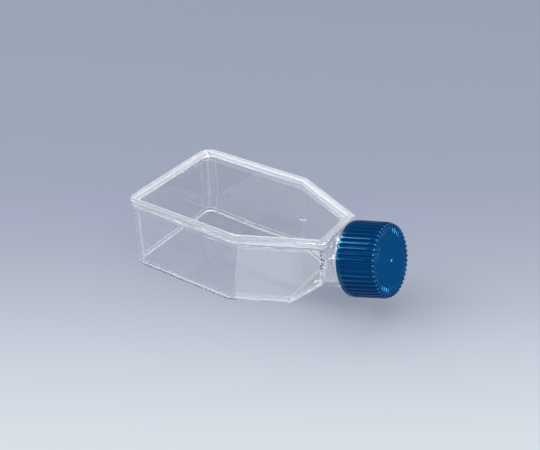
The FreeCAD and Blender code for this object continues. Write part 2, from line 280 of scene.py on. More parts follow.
class Material(Graph):
    """A material's node tree, with the coordinates and textures that the finishes share."""

    def __init__(self, name: str) -> None:
        """Make the material."""
        self.material = bpy.data.materials.new(name)
        self.material.use_nodes = True
        super().__init__(self.material.node_tree)
        self.place = self.add("ShaderNodeTexCoord").outputs["Object"]

    def coordinates(self) -> tuple[Signal, Signal, Signal]:
        """X, Y and Z of the point, in metres."""
        split = self.add("ShaderNodeSeparateXYZ", inputs={0: self.place})
        return tuple(Signal(self, socket) for socket in split.outputs)

    def attribute(self, name: str) -> Signal:
        """A number that the mesh keeps on its points."""
        return Signal(self, self.add("ShaderNodeAttribute", {"attribute_name": name}).outputs["Fac"])

    def noise(self, scale: float, detail: float = 2.0) -> Signal:
        """Noise on the object's own coordinates.

        Args:
            scale: waves per metre.
            detail: how many finer layers are added.

        Returns:
            A value round 0.5.
        """
        node = self.add("ShaderNodeTexNoise", inputs={
            "Vector": self.place, "Scale": scale, "Detail": detail})
        return Signal(self, node.outputs[0])

    def streaks(self, across: Signal, scale: float, detail: float = 2.0) -> Signal:
        """Noise of one value, which draws streaks along every path where that value stays the same.

        Args:
            across: the value.
            scale: waves per unit of the value.
            detail: how many finer layers are added.

        Returns:
            A value round 0.5.
        """
        node = self.add("ShaderNodeTexNoise", {"noise_dimensions": "1D"}, {
            "W": across, "Scale": scale, "Detail": detail})
        return Signal(self, node.outputs[0])

    def blend(self, share: Signal, first: Input, second: Input) -> bpy.types.NodeSocket:
        """Mix two colours.

        Args:
            share: how much the second counts.
            first: a colour or a link.
            second: a colour or a link.

        Returns:
            The mixed colour.
        """
        first, second = ((*colour, 1) if isinstance(colour, tuple) else colour
                         for colour in (first, second))
        return self.add("ShaderNodeMix", {"data_type": "RGBA"}, {0: share, 6: first, 7: second}).outputs[2]

    def shade(self, colour: bpy.types.NodeSocket, factor: Signal) -> bpy.types.NodeSocket:
        """Scale a colour's brightness."""
        return self.add("ShaderNodeVectorMath", {"operation": "SCALE"},
                        {0: colour, "Scale": factor}).outputs[0]

    def bump(self, height: Signal, depth: float) -> bpy.types.NodeSocket:
        """Normal of a surface with this height, of this depth in metres."""
        return self.add("ShaderNodeBump", inputs={"Height": height, "Distance": depth}).outputs[0]

    def finish(self, shader: bpy.types.NodeSocket) -> bpy.types.Material:
        """Connect the surface and return the material."""
        self.add("ShaderNodeOutputMaterial", inputs={"Surface": shader})
        return self.material


class Recipe(Graph):
    """A Geometry Nodes tree with named inputs, which is run once and leaves a plain mesh."""

    kinds: dict[type, str] = {float: "NodeSocketFloat", int: "NodeSocketInt",
                              bpy.types.Material: "NodeSocketMaterial"}

    def __init__(self, name: str, inputs: dict[str, type]) -> None:
        """Open the tree.

        Args:
            name: the tree's name.
            inputs: name and type of each value that the tree takes.
        """
        super().__init__(bpy.data.node_groups.new(name, "GeometryNodeTree"))
        face = self.tree.interface
        face.new_socket("Geometry", in_out="INPUT", socket_type="NodeSocketGeometry")
        for title, kind in inputs.items():
            face.new_socket(title, in_out="INPUT", socket_type=self.kinds[kind])
        face.new_socket("Geometry", in_out="OUTPUT", socket_type="NodeSocketGeometry")
        self.entry = self.add("NodeGroupInput")

    def given(self, title: str) -> Signal:
        """One of the tree's inputs."""
        return Signal(self, self.entry.outputs[title])

    def note(self, name: str) -> Signal:
        """A number that the mesh keeps on its points."""
        return Signal(self, self.add("GeometryNodeInputNamedAttribute", {"data_type": "FLOAT"},
                                     {"Name": name}).outputs["Attribute"])

    def vector(self, operation: str, inputs: dict[int | str, Input]) -> bpy.types.NodeSocket:
        """Add one Vector Math node and return its vector."""
        return self.add("ShaderNodeVectorMath", {"operation": operation}, inputs).outputs[0]

    def close(self, geometry: bpy.types.NodeSocket) -> None:
        """End the tree: real faces, with their material."""
        solid = self.add("GeometryNodeRealizeInstances", inputs={0: geometry}).outputs[0]
        dressed = self.add("GeometryNodeSetMaterial", inputs={
            "Geometry": solid, "Material": self.given("Material")}).outputs[0]
        self.add("NodeGroupOutput", inputs={0: dressed})

    def run(self, name: str, blank: bpy.types.Mesh, values: dict[str, object],
            crease: float) -> bpy.types.Object:
        """Run the tree on a mesh.

        Args:
            name: name of the piece.
            blank: mesh that the tree starts from.
            values: value of each input.
            crease: angle in degrees above which an edge stays sharp.

        Returns:
            An object that holds the finished mesh and no modifier.
        """
        piece = new_object(name, blank)
        modifier = piece.modifiers.new(self.tree.name, "NODES")
        modifier.node_group = self.tree
        for item in self.tree.interface.items_tree:
            if item.in_out == "INPUT" and item.name in values:
                modifier[item.identifier] = values[item.name]
        settle(piece)
        smooth(piece.data, crease)
        return piece


class Slot(Enum):
    """The record's material slots."""

    TRAY = "clear_tray"
    PLATE = "clear_plate"
    CAP = "blue_cap"


class Body(Enum):
    """The bodies that pieces ride on."""

    FLASK = "flask"
    CAP = "cap"


def hand_over(piece: bpy.types.Object, body: Body, stands_for: str | None = None) -> None:
    """Hand a finished piece to the frame, and report it.

    Args:
        piece: the piece, whose object is at the origin.
        body: what it moves with.
        stands_for: the construction's node that it replaces.
    """
    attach(piece, body.value)
    if stands_for is not None:
        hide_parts(stands_for)
    piece.data.calc_loop_triangles()
    LOG.info("%s: %d triangles", piece.name, len(piece.data.loop_triangles))


@dataclass(frozen=True)
class RimFrostAndPaintedHighlights:
    """Whitened plastic round the stacking rim and the weld under it, in millimetres: partly frost, partly
    painted highlight bands.

    The share of matt scatter follows a path that starts at the rim's inner top edge, crosses the flat
    top outwards and goes down the outer face to the underside of the flange. Fine streaks run across
    that path, round the flask, and patches break them up. The outline in plan stands outset outside the
    rim, but for its front. Deeper than rim_depth, only what lies within rim_width of the outline is
    frosted. What lies further outside it than neck_side is the neck, which stays clear.
    """

    outset: float = 0.45
    taper_start: float = 26.2
    flange: float = 0.85
    path: tuple[Span, ...] = (
        (-4.0, 0.35), (-2.9, 0.9), (-2.6, 0.9), (-2.3, 0.45), (-1.7, 0.38), (-1.2, 0.6), (-0.6, 0.5),
        (-0.2, 0.22), (0.2, 0.22), (0.5, 0.62), (1.0, 0.35), (1.3, 0.4), (1.5, 1.0), (1.95, 1.0), (2.1, 0.0),
        (2.9, 0.0), (3.15, 0.2), (3.3, 1.0), (3.75, 1.0))
    streak_scale: float = 2.2
    streak_share: float = 1.2
    wander: float = 0.8
    wander_scale: float = 60.0
    patch_scale: float = 450.0
    patch_share: float = 0.3
    # painted highlight: the far side of the rim gets more matt white, so it looks brighter there
    far_side: Span = (-4.0, 16.0)
    far_highlight_gain: float = 0.35
    rim_depth: float = 1.95
    rim_width: Span = (1.2, 1.5)
    neck_side: Span = (-0.8, -0.4)
    most: float = 0.95

    def inset(self, x: Signal, y: Signal) -> Signal:
        """Distance in plan from the outline.

        Args:
            x: the point's X, in metres.
            y: the point's Y, in metres.

        Returns:
            The distance in metres, above zero inside the outline.
        """
        low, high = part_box("top_plate")
        outset = self.outset * MM
        side = high.y + outset - abs(y)
        taper = (side + TAPER_SLOPE * self.taper_start * MM - x * TAPER_SLOPE) * (
            1 / math.hypot(1, TAPER_SLOPE))
        return side.smaller(x - (low.x - outset)).smaller(taper).smaller(high.x - x)

    def share(self, maker: Material) -> Signal:
        """Share of matt white scatter at each point, which is frost and painted highlight.

        Args:
            maker: the material that it is for.

        Returns:
            The share, from 0 to most.
        """
        low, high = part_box("top_plate")
        x, y, z = maker.coordinates()
        inset = self.inset(x, y) * (1 / MM)
        depth = (high.z - z) * (1 / MM)
        path = depth - inset
        streaks = maker.streaks(path + maker.noise(self.wander_scale) * self.wander, self.streak_scale)
        level = path.lines(self.path) * (
            streaks * self.streak_share + maker.noise(self.patch_scale) * self.patch_share)
        # Painted highlight: more matt white on the far side of the rim.
        level = level * (1 + (y * (1 / MM)).step(*self.far_side) * self.far_highlight_gain)
        frosted = (self.rim_depth - depth).above(0.0).larger(inset.fall(*self.rim_width))
        frosted = frosted * inset.step(*self.neck_side) * z.above(low.z - self.flange * MM)
        return (level * frosted).smaller(self.most)


@dataclass(frozen=True)
class PaintedEdgeHighlightsAndShade:
    """Painted highlights and painted shade along the tray's thick rounded edges, in millimetres.

    Heights are above the underside of the floor. The floor's outline is the side walls, the rear wall with
    its two round corners, the tapered walls and the foot of the ramp. A line is whole up to the first
    number of its width or reach and gone at the second. The chain is a broken upright line of painted
    glints where the tapered walls meet the front wall.
    """

    half_width: float = 23.9
    rear: float = -21.5
    corner: float = 5.0
    taper: float = 34.9
    taper_lean: float = 0.43
    ramp: float = 42.0
    ramp_lean: float = 1.11
    front: float = 53.8
    # painted highlight lines along the floor's rounded edge, by height
    bright: tuple[Span, ...] = (
        (0.0, 0.85), (0.14, 0.85), (0.3, 0.0), (1.2, 0.0), (1.35, 1.0), (1.8, 1.0), (1.95, 0.0))
    highlight_reach: Span = (0.4, 0.7)
    # painted shade lines along the same rounding, by height
    dark: tuple[Span, ...] = ((0.2, 0.0), (0.32, 1.0), (1.1, 1.0), (1.25, 0.0))
    painted_shade_reach: Span = (1.0, 1.2)
    patch_scale: float = 260.0
    highlight_patches: Span = (0.6, 1.1)
    painted_shade_scale: float = 140.0
    painted_shade_least: float = 0.45
    wall_foot: Span = (1.6, 2.4)
    wall_head: Span = (24.0, 25.0)
    # painted highlight lines up the rear corners
    upright: float = 0.5
    upright_least: float = 0.5
    middle_width: Span = (0.3, 0.9)
    middle_reach: Span = (1.6, 2.2)
    end_width: Span = (0.1, 0.5)
    side_reach: Span = (0.3, 0.5)
    rear_reach: Span = (0.4, 0.6)
    # the chain: painted glints where the tapered walls meet the front wall
    chain_level: float = 0.9
    chain_line: float = 36.4
    chain_lean: float = 0.07
    chain_side: Span = (0.8, 1.6)
    chain_width: Span = (0.5, 1.0)
    chain_scale: float = 900.0
    chain_gaps: Span = (0.46, 0.56)

    def millimetres(self, maker: Material) -> tuple[Signal, Signal, Signal]:
        """X, Y and Z of the point."""
        return tuple(axis * (1 / MM) for axis in maker.coordinates())

    def walls(self, x: Signal, y: Signal) -> tuple[Signal, Signal]:
        """Distances in plan from the side wall and the rear wall."""
        return self.half_width - abs(y), x - self.rear

    def inset(self, x: Signal, y: Signal, z: Signal) -> Signal:
        """Distance in plan from the floor's outline.

        Args:
            x: the point's X, in millimetres.
            y: the point's Y, in millimetres.
            z: the point's Z, in millimetres. The tapered walls and the ramp lean.

        Returns:
            The distance in millimetres, above zero inside the outline.
        """
        side, back = self.walls(x, y)
        into_side = (self.corner - side).larger(0.0)
        into_back = (self.corner - back).larger(0.0)
        rounded = self.corner - (into_side * into_side + into_back * into_back).root()
        taper = (z * self.taper_lean + self.taper - abs(y) - x * TAPER_SLOPE) * (
            1 / math.hypot(1, TAPER_SLOPE))
        ramp = (z * self.ramp_lean + self.ramp - x) * (1 / math.hypot(1, self.ramp_lean))
        return rounded.smaller(taper).smaller(ramp)

    def corners(self, x: Signal, y: Signal) -> Signal:
        """Upright lines in a rear corner: one in its middle and one at each end of its round.

        Args:
            x: the point's X, in millimetres.
            y: the point's Y, in millimetres.

        Returns:
            1 on the lines, else 0.
        """
        side, back = self.walls(x, y)
        middle = abs(side - back).fall(*self.middle_width) * side.fall(*self.middle_reach)
        on_rear = abs(side - self.corner).fall(*self.end_width) * back.fall(*self.side_reach)
        on_side = abs(back - self.corner).fall(*self.end_width) * side.fall(*self.rear_reach)
        return middle.larger(on_rear.larger(on_side))

    def share(self, maker: Material) -> Signal:
        """Share of matt white scatter that paints highlights: lines along the floor and up the corners, and
        the chain of glints.

        Args:
            maker: the material that it is for.

        Returns:
            The share.
        """
        x, y, z = self.millimetres(maker)
        patchy = maker.noise(self.patch_scale)
        least, gain = self.highlight_patches
        floor = z.lines(self.bright) * self.inset(x, y, z).fall(*self.highlight_reach) * (least + patchy * gain)
        height = z.step(*self.wall_foot) * z.fall(*self.wall_head)
        upright = self.corners(x, y) * height * self.upright * (self.upright_least + patchy)
        chain = (self.chain_line + z * self.chain_lean - abs(y) - x * TAPER_SLOPE).fall(*self.chain_side)
        chain = chain * abs(self.front - x).fall(*self.chain_width) * height
        chain = chain * maker.noise(self.chain_scale, 1.0).step(*self.chain_gaps) * self.chain_level
        return floor.larger(upright).larger(chain)

    def shadow(self, maker: Material) -> Signal:
        """Painted shade: how far the clear plastic's tint darkens, along the rounding under the walls.

        Args:
            maker: the material that it is for.

        Returns:
            A share from 0, clear, to 1, dark.
        """
        x, y, z = self.millimetres(maker)
        dark = z.lines(self.dark) * self.inset(x, y, z).fall(*self.painted_shade_reach)
        return (dark * (self.painted_shade_least + maker.noise(self.painted_shade_scale))).smaller(1.0)


@dataclass(frozen=True)
class ClearPolystyrene:
    """Polished clear plastic, matt white where frost and painted highlights lie, with painted shade in its
    tint.

    Shadows and soft light pass straight through it, because its caustics aren't followed.
    """

    tint: Colour = (0.995, 0.994, 0.99)
    shade: Colour = (0.93, 0.94, 0.96)
    index: float = 1.59
    wave_scale: float = 90.0
    wave_depth: float = 0.01 * MM
    # the matt white of the frost and of the painted highlights
    frost_colour: Colour = (0.93, 0.95, 1.0)
    frost_roughness: float = 0.35
    # painted shade: the dark tint that the shadow mask blends towards
    deep: Colour = (0.2, 0.21, 0.24)

    def dress(self, name: str, frost: Sequence[Callable[[Material], Signal]] = (),
              shadow: Callable[[Material], Signal] | None = None) -> bpy.types.Material:
        """Build the material.

        Args:
            name: the material's name.
            frost: each gives the share of matt white scatter at each point, for frost and for painted
                highlights, and the largest counts.
            shadow: gives how much painted shade darkens the plastic's tint at each point.

        Returns:
            The material.
        """
        maker = Material(name)
        # Painted shade: the tint darkens where the shadow mask says.
        tint = (*self.tint, 1) if shadow is None else maker.blend(shadow(maker), self.tint, self.deep)
        surface = maker.add("ShaderNodeBsdfPrincipled", inputs={
            "Base Color": tint, "Roughness": 0.0, "IOR": self.index, "Transmission Weight": 1.0,
            "Normal": maker.bump(maker.noise(self.wave_scale), self.wave_depth)}).outputs[0]
        if frost:
            share = frost[0](maker)
            for other in frost[1:]:
                share = share.larger(other(maker))
            matt = maker.add("ShaderNodeBsdfPrincipled", inputs={
                "Base Color": (*self.frost_colour, 1), "Roughness": self.frost_roughness,
                "IOR": self.index}).outputs[0]
            surface = maker.either(share, surface, matt)
        passing = maker.ray("Is Shadow Ray").larger(maker.ray("Is Diffuse Ray"))
        through = maker.add("ShaderNodeBsdfTransparent", inputs={0: (*self.shade, 1)}).outputs[0]
        return maker.finish(maker.either(passing, surface, through))


@dataclass(frozen=True)
class CapPolyethylene:
    """Blue moulded plastic with painted shade on its side, light in its grooves and highlights on its tips.
    """

    colour: Colour = linear(13, 76, 129)
    # painted shade: the side is darker than the face, as less light falls on it
    side: Colour = linear(5, 58, 106)
    # painted light: the bottoms of the grooves are lighter, cancelling the shade that falls in them
    low: Colour = linear(12, 84, 148)
    # painted highlight: lighter dots on the rib tips and the nib
    painted_glint_colour: Colour = linear(125, 205, 235)
    sheen: Colour = (0.12, 0.75, 1.0)
    shine: float = 0.35
    roughness: float = 0.15
    index: float = 1.5
    grain_scale: float = 2600.0
    grain_depth: float = 0.01 * MM
    grain_roughness: float = 0.06
    cloud_scale: float = 120.0
    cloud_depth: float = 0.14

    def dress(self, name: str) -> bpy.types.Material:
        """Build the material.

        Args:
            name: the material's name.

        Returns:
            The material.
        """
        maker = Material(name)
        grain = maker.noise(self.grain_scale, 3.0)
        # Painted shade on the side.
        tone = maker.blend(maker.attribute("side"), self.colour, self.side)
        # Painted light in the grooves.
        tone = maker.blend(maker.attribute("low"), tone, self.low)
        # Painted highlights on the rib tips and the nib.
        tone = maker.blend(maker.attribute("tip"), tone, self.painted_glint_colour)
        cloud = maker.noise(self.cloud_scale) - 0.5
        shader = maker.add("ShaderNodeBsdfPrincipled", inputs={
            "Base Color": maker.shade(tone, 1 + cloud * self.cloud_depth),
            "Roughness": self.roughness + (grain - 0.5) * self.grain_roughness,
            "IOR": self.index, "Specular Tint": (*self.sheen, 1), "Specular IOR Level": self.shine,
            "Normal": maker.bump(grain, self.grain_depth)})
        return maker.finish(shader.outputs[0])


def direction(azimuth: float, elevation: float) -> Vector:
    """Unit vector that points this way.

    Args:
        azimuth: degrees round from -Y towards +X.
        elevation: degrees above the floor.

    Returns:
        The vector.
    """
    turn, rise = math.radians(azimuth), math.radians(elevation)
    return Vector((math.cos(rise) * math.sin(turn), -math.cos(rise) * math.cos(turn), math.sin(rise)))


class Card(NamedTuple):
    """A broad pale card in an otherwise dark room. Only rays that clear plastic refracts meet it."""

    azimuth: float
    elevation: float
    level: float


class Glint(NamedTuple):
    """A small bright disc that reaches this many degrees. Only mirrored rays meet it."""

    azimuth: float
    elevation: float
    reach: float
    level: float


@dataclass(frozen=True)
class Board:
    """A bright board on the floor before the near tapered wall, in millimetres.

    Its sides slant by the skew. Along the wall it goes from start to end, and a duller part goes on to
    last. Only mirrored rays meet it.
    """

    start: float = 17.8
    end: float = 40.7
    last: float = 51.0
    skew: float = 0.35
    front: float = -65.0
    back: float = -10.0
    front_fade: float = 5.0
    fade: float = 1.0
    dulled: float = 0.25
    level: float = 1.9
    colour: Colour = (0.95, 0.97, 1.0)

    def share(self, x: Signal, y: Signal) -> Signal:
        """How much of the board lies at each point of the floor.

        Args:
            x: the point's X, in metres.
            y: the point's Y, in metres.

        Returns:
            A share from 0, beside it, to 1, on its bright part.
        """
        x, y = x * (1 / MM), y * (1 / MM)
        along = x + y * self.skew
        board = along.step(self.start - self.fade, self.start)
        board = board * (1 - along.step(self.end - self.fade, self.end + self.fade) * self.dulled)
        board = board * along.fall(self.last - self.fade, self.last + self.fade)
        return board * y.step(self.front, self.front + self.front_fade) * y.fall(
            self.back, self.back + self.fade)


@dataclass
class Studio:
    """Floor, lamps, sky and camera, in metres and degrees."""

    aim: tuple[float, float, float] = (0.0082, 0.0267, 0.0)
    azimuth: float = 32.875
    elevation: float = 32.637
    distance: float = 0.3224
    lens: float = 51.57
    floor_radius: float = 3.0
    floor_drop: float = 0.1 * MM
    sky_colour: Colour = (0.95, 0.97, 1.0)
    sky_level: float = 0.76
    mirror_level: float = 0.12
    card_spread: float = 8.0
    cards: tuple[Card, ...] = (
        Card(180, 58, 1.75), Card(122, 54, 1.0), Card(0, 58, 3.6), Card(-90, 32, 0.2), Card(90, 32, 3.6),
        Card(-21, 30, 1.9), Card(-58, 18, 0.1), Card(122, 18, 0.15), Card(-90, 0, 2.8))
    glints: tuple[Glint, ...] = (
        Glint(-46, 13, 12, 9.0), Glint(-63, 29, 13, 12.0), Glint(-76, 34, 13, 17.0),
        Glint(-91, 36, 12, 20.0), Glint(-106, 34, 8, 6.0), Glint(75, 45, 25, 26.0))
    glint_core: float = 0.5
    softboxes: tuple[tuple[str, float, float], ...] = (("softbox_left", -45, 42), ("softbox_right", 75, 45))
    softbox_aim: tuple[float, float, float] = (0.015, 0.0, 0.015)
    softbox_distance: float = 2.0
    softbox_size: float = 1.2
    softbox_power: float = 8.0
    tones: tuple[tuple[float, Colour], ...] = (
        (-0.15, linear(223, 229, 234)), (-0.098, linear(219, 225, 230)), (-0.064, linear(206, 211, 221)),
        (-0.032, linear(188, 193, 205)), (-0.007, linear(178, 183, 198)), (0.018, linear(171, 176, 195)),
        (0.045, linear(165, 171, 190)), (0.09, linear(162, 169, 187)), (0.3, linear(160, 167, 185)))

    def camera(self) -> None:
        """Place the camera."""
        data = bpy.data.cameras.new("camera")
        data.lens = self.lens
        data.sensor_width = 36.0
        data.clip_start = 0.01
        data.clip_end = 20.0
        camera = new_object("camera", data)
        sight = direction(self.azimuth, self.elevation)
        camera.location = Vector(self.aim) + sight * self.distance
        camera.rotation_euler = sight.to_track_quat("Z", "Y").to_euler()
        bpy.context.scene.camera = camera

    def floor(self) -> None:
        """A large pale floor whose tone deepens away from the front, with the board on it."""
        mesh = bpy.data.meshes.new("floor")
        shape = bmesh.new()
        bmesh.ops.create_circle(shape, cap_ends=True, radius=self.floor_radius, segments=96)
        shape.to_mesh(mesh)
        shape.free()
        mesh.transform(Matrix.Translation((0, 0, -self.floor_drop)))
        maker = Material("pale_floor")
        x, y, _ = maker.coordinates()
        turn = math.radians(self.azimuth)
        tone = maker.ramp(y * math.cos(turn) - x * math.sin(turn), self.tones)
        plain = maker.add("ShaderNodeBsdfDiffuse", inputs={0: tone}).outputs[0]
        board = Board()
        glow = maker.add("ShaderNodeEmission", inputs={0: (*board.colour, 1), 1: board.level}).outputs[0]
        surface = maker.either(board.share(x, y) * maker.mirrored(), plain, glow)
        maker.material.cycles.emission_sampling = "NONE"
        mesh.materials.append(maker.finish(surface))
        new_object("floor", mesh)

    def softbox(self, name: str, azimuth: float, elevation: float) -> None:
        """Add one square lamp that faces the flask. No mirrored or refracted ray meets it.

        Args:
            name: its name.
            azimuth: degrees round from -Y towards +X.
            elevation: degrees above the floor.
        """
        data = bpy.data.lights.new(name, "AREA")
        data.shape = "SQUARE"
        data.size = self.softbox_size
        data.energy = self.softbox_power
        lamp = new_object(name, data)
        lamp.visible_glossy = False
        lamp.visible_transmission = False
        way = direction(azimuth, elevation)
        lamp.location = way * self.softbox_distance + Vector(self.softbox_aim)
        lamp.rotation_euler = way.to_track_quat("Z", "Y").to_euler()

    def sky(self) -> None:
        """Even light from all round, with the cards in refracted rays and the glints in mirrored ones."""
        world = bpy.data.worlds.new("studio")
        world.use_nodes = True
        bpy.context.scene.world = world
        maker = Graph(world.node_tree)
        way = maker.add("ShaderNodeTexCoord").outputs["Generated"]

        def toward(azimuth: float, elevation: float) -> Signal:
            """Cosine of the angle between a ray and this direction."""
            return Signal(maker, maker.add("ShaderNodeVectorMath", {"operation": "DOT_PRODUCT"}, {
                0: way, 1: direction(azimuth, elevation)}).outputs["Value"])

        room = sum(((toward(card.azimuth, card.elevation) - 1) * self.card_spread).exponential() * card.level
                   for card in self.cards)
        shine = sum(toward(glint.azimuth, glint.elevation).step(
            math.cos(math.radians(glint.reach)), math.cos(math.radians(glint.reach * self.glint_core)))
            * glint.level for glint in self.glints) + self.mirror_level
        level = self.sky_level + maker.ray("Is Transmission Ray") * (room - self.sky_level) + (
            maker.mirrored() * (shine - self.sky_level))
        light = maker.add("ShaderNodeBackground", inputs={0: (*self.sky_colour, 1), 1: level}).outputs[0]
        maker.add("ShaderNodeOutputWorld", inputs={0: light})

    def build(self) -> None:
        """Make the whole studio, and let rays through the clear walls to the end."""
        self.camera()
        self.floor()
        self.sky()
        for name, azimuth, elevation in self.softboxes:
            self.softbox(name, azimuth, elevation)
        cycles = bpy.context.scene.cycles
        cycles.max_bounces = 64
        cycles.transmission_bounces = 64
        cycles.glossy_bounces = 64
        cycles.transparent_max_bounces = 32
        cycles.caustics_reflective = False
        cycles.caustics_refractive = False
        bpy.context.scene.view_settings.view_transform = "Standard"


def neck_axes() -> Matrix:
    """Places a shape made along +Z from the origin along the neck, from the closed cap's open end."""
    axis = Vector(frame["joints"][0]["axis"]).normalized()
    across = Vector((0, 1, 0))
    turn = Matrix((across.cross(axis), across, axis)).transposed().to_4x4()
    return Matrix.Translation(SEAT) @ turn


@dataclass
class Tray:
    """The tray with its neck, which keeps the construction's own mesh."""

    node: str = "flask_body"

    def build(self, finish: bpy.types.Material) -> None:
        """Dress the tray.

        Args:
            finish: its clear plastic.
        """
        tray = frame["nodes"][self.node]
        tray.data.materials.clear()
        tray.data.materials.append(finish)
        LOG.info("%s: %d triangles", self.node, len(tray.data.polygons))


@dataclass
class StackingPlate:
    """The welded top plate with its raised stacking rim, in metres and degrees."""

    node: str = "top_plate"
    film: float = 0.03 * MM
    foot: float = 0.05 * MM
    weld: float = 0.001 * MM
    crease: float = 32.0

    def build(self, finish: bpy.types.Material) -> None:
        """Copy the plate, with its underside lifted off the flange by a thin film of air.

        Args:
            finish: its clear plastic.
        """
        lowest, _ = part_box(self.node)
        mesh = frame["nodes"][self.node].data.copy()
        shape = bmesh.new()
        shape.from_mesh(mesh)
        bmesh.ops.remove_doubles(shape, verts=shape.verts, dist=self.weld)
        for point in shape.verts:
            if point.co.z < lowest.z + self.foot:
                point.co.z += self.film
        shape.to_mesh(mesh)
        shape.free()
        smooth(mesh, self.crease)
        mesh.materials.clear()
        mesh.materials.append(finish)
        plate = new_object("clear_plate", mesh)
        even = plate.modifiers.new("even_faces", "WEIGHTED_NORMAL")
        even.mode = "FACE_AREA"
        even.keep_sharp = True
        settle(plate)
        hand_over(plate, Body.FLASK, self.node)


class Row(NamedTuple):
    """One row of the cap's outline: where it is, how deep its grooves are and how high its teeth."""

    radius: float
    station: float
    groove: float = 0.0
    tooth: float = 0.0


@dataclass
class RibbedCap:
    """The blue screw cap: skirt, ribs, toothed ring, nib and plug seal, in millimetres.

    Stations are measured along the axis from the open end. A share goes round the cap from the middle of
    one groove, at 0, to the middle of the next, at 1, and turns_ahead keeps it from falling below 0.
    """

    node: str = "screw_cap"
    length: float = 13.8
    open_radius: float = 13.45
    taper: float = 0.037
    rim_rounding: float = 0.3
    rounding_steps: int = 6
    band: float = 1.9
    band_run: tuple[Span, ...] = ((-0.1, 0.0), (0.0, 0.08), (0.1, 0.5), (0.2, 0.92), (0.3, 1.0))
    groove: float = 1.0
    grooved: tuple[float, ...] = (2.5, 5.0, 8.0, 10.8, 11.5)
    ribs: int = 44
    floor_share: float = 0.16
    crest_share: float = 0.37
    crest_round: float = 0.07
    shoulder: tuple[tuple[float, float, float], ...] = (
        (12.2, 13.0, 1.0), (12.3, 12.96, 1.0), (12.6, 12.85, 1.0), (13.0, 12.7, 0.97), (13.3, 12.59, 0.94),
        (13.5, 12.51, 0.92), (13.62, 12.46, 0.9), (13.71, 12.39, 0.88), (13.77, 12.31, 0.86),
        (13.8, 12.22, 0.84))
    ring_inner: float = 9.3
    ring_outer: float = 11.2
    ring_depth: float = 0.3
    ring_edge: float = 0.08
    ring_drop: float = 0.06
    ring_foot: float = 0.05
    tooth: float = 0.27
    tooth_share: float = 0.27
    tooth_run: tuple[Span, ...] = (
        (0.05, 0.0), (0.08, 0.6), (0.12, 0.95), (0.2, 1.0), (0.8, 1.0), (0.88, 0.95), (0.92, 0.6),
        (0.95, 0.0))
    # painted highlight dots on the rib tips: where they sit and how strong they are
    glint_dot_start: float = 13.45
    glint_dot_end: float = 13.75
    glint_dot_share: float = 0.13
    glint_dot_tone: float = 0.45
    # painted light in the grooves' bottoms: where it starts and how far it reaches; low_least also picks the
    # faces that get the dull plastic
    groove_light_start: float = 0.1
    groove_light_share: float = 0.26
    low_least: float = 0.02
    glint_dot_margin: float = 0.5
    level_normal: float = 0.95
    bore: float = 11.4
    ceiling: float = 12.2
    plug_outer: float = 8.25
    plug_inner: float = 7.25
    plug_foot: float = 9.0
    plug_lead: Span = (0.4, 0.6)
    plug_bevel: Span = (0.2, 0.3)
    mouth_bevel: tuple[Span, ...] = ((0.0, 0.35), (0.12, 0.1), (0.35, 0.0))
    nib_radius: float = 0.45
    nib_height: float = 0.25
    nib_foot: float = 0.02
    nib_margin: Span = (0.3, 0.1)
    columns: tuple[float, ...] = (0.0, 0.06, 0.12, 0.16, 0.2, 0.24, 0.28, 0.32, 0.37, 0.4, 0.43, 0.46,
                                  0.48, 0.5)
    crease: float = 48.0
    turns_ahead: float = 1000.0

    def crest(self, station: float) -> float:
        """Radius over the ribs at this distance from the open end."""
        return self.open_radius - self.taper * station

    def inside(self) -> list[Row]:
        """Rows from the middle of the underside, round the plug seal and down the bore."""
        (lead, lead_rise), (bevel, bevel_rise), foot = self.plug_lead, self.plug_bevel, self.plug_foot
        plug = [Row(self.plug_inner, self.ceiling), Row(self.plug_inner, foot + bevel_rise),
                Row(self.plug_inner + bevel, foot), Row(self.plug_outer - lead, foot),
                Row(self.plug_outer, foot + lead_rise), Row(self.plug_outer, self.ceiling)]
        mouth = [Row(self.bore + out, station) for out, station in self.mouth_bevel]
        return [Row(0.0, self.ceiling), *plug, Row(self.bore, self.ceiling), *mouth]

    def outside(self) -> list[Row]:
        """Rows from the rounded open end over the smooth band and the ribs to the edge of the face."""
        rows = []
        rim = self.rim_rounding
        for step in range(self.rounding_steps):
            turn = math.radians(90 * step / (self.rounding_steps - 1))
            rows.append(Row(self.crest(rim) - rim + rim * math.sin(turn), rim - rim * math.cos(turn)))
        for past, share in self.band_run:
            station = self.band + past
            rows.append(Row(self.crest(station), station, self.groove * share))
        rows += [Row(self.crest(station), station, self.groove) for station in self.grooved]
        return rows + [Row(radius, station, self.groove * share) for station, radius, share in self.shoulder]

    def face(self) -> list[Row]:
        """Rows over the sunk ring of teeth and the disc inside it to the tip of the nib."""
        top, floor, edge = self.length, self.length - self.ring_depth, self.ring_edge
        rows = [Row(self.ring_outer + 2 * edge, top), Row(self.ring_outer + edge, top),
                Row(self.ring_outer, top - self.ring_drop), Row(self.ring_outer - self.ring_foot, floor)]
        width = self.ring_outer - self.ring_inner
        rows += [Row(self.ring_outer - share * width, floor, 0.0, self.tooth * rise)
                 for share, rise in self.tooth_run]
        rows += [Row(self.ring_inner + self.ring_foot, floor), Row(self.ring_inner, top - self.ring_drop),
                 Row(self.ring_inner - edge, top), Row(self.ring_inner - 2 * edge, top)]
        rows += [Row(self.nib_radius + margin, top) for margin in self.nib_margin]
        rise = self.nib_height - self.nib_foot
        for step in range(self.rounding_steps):
            turn = math.radians(90 * step / self.rounding_steps)
            rows.append(Row(self.nib_radius * math.cos(turn), top + self.nib_foot + rise * math.sin(turn)))
        return rows + [Row(0.0, top + self.nib_height)]

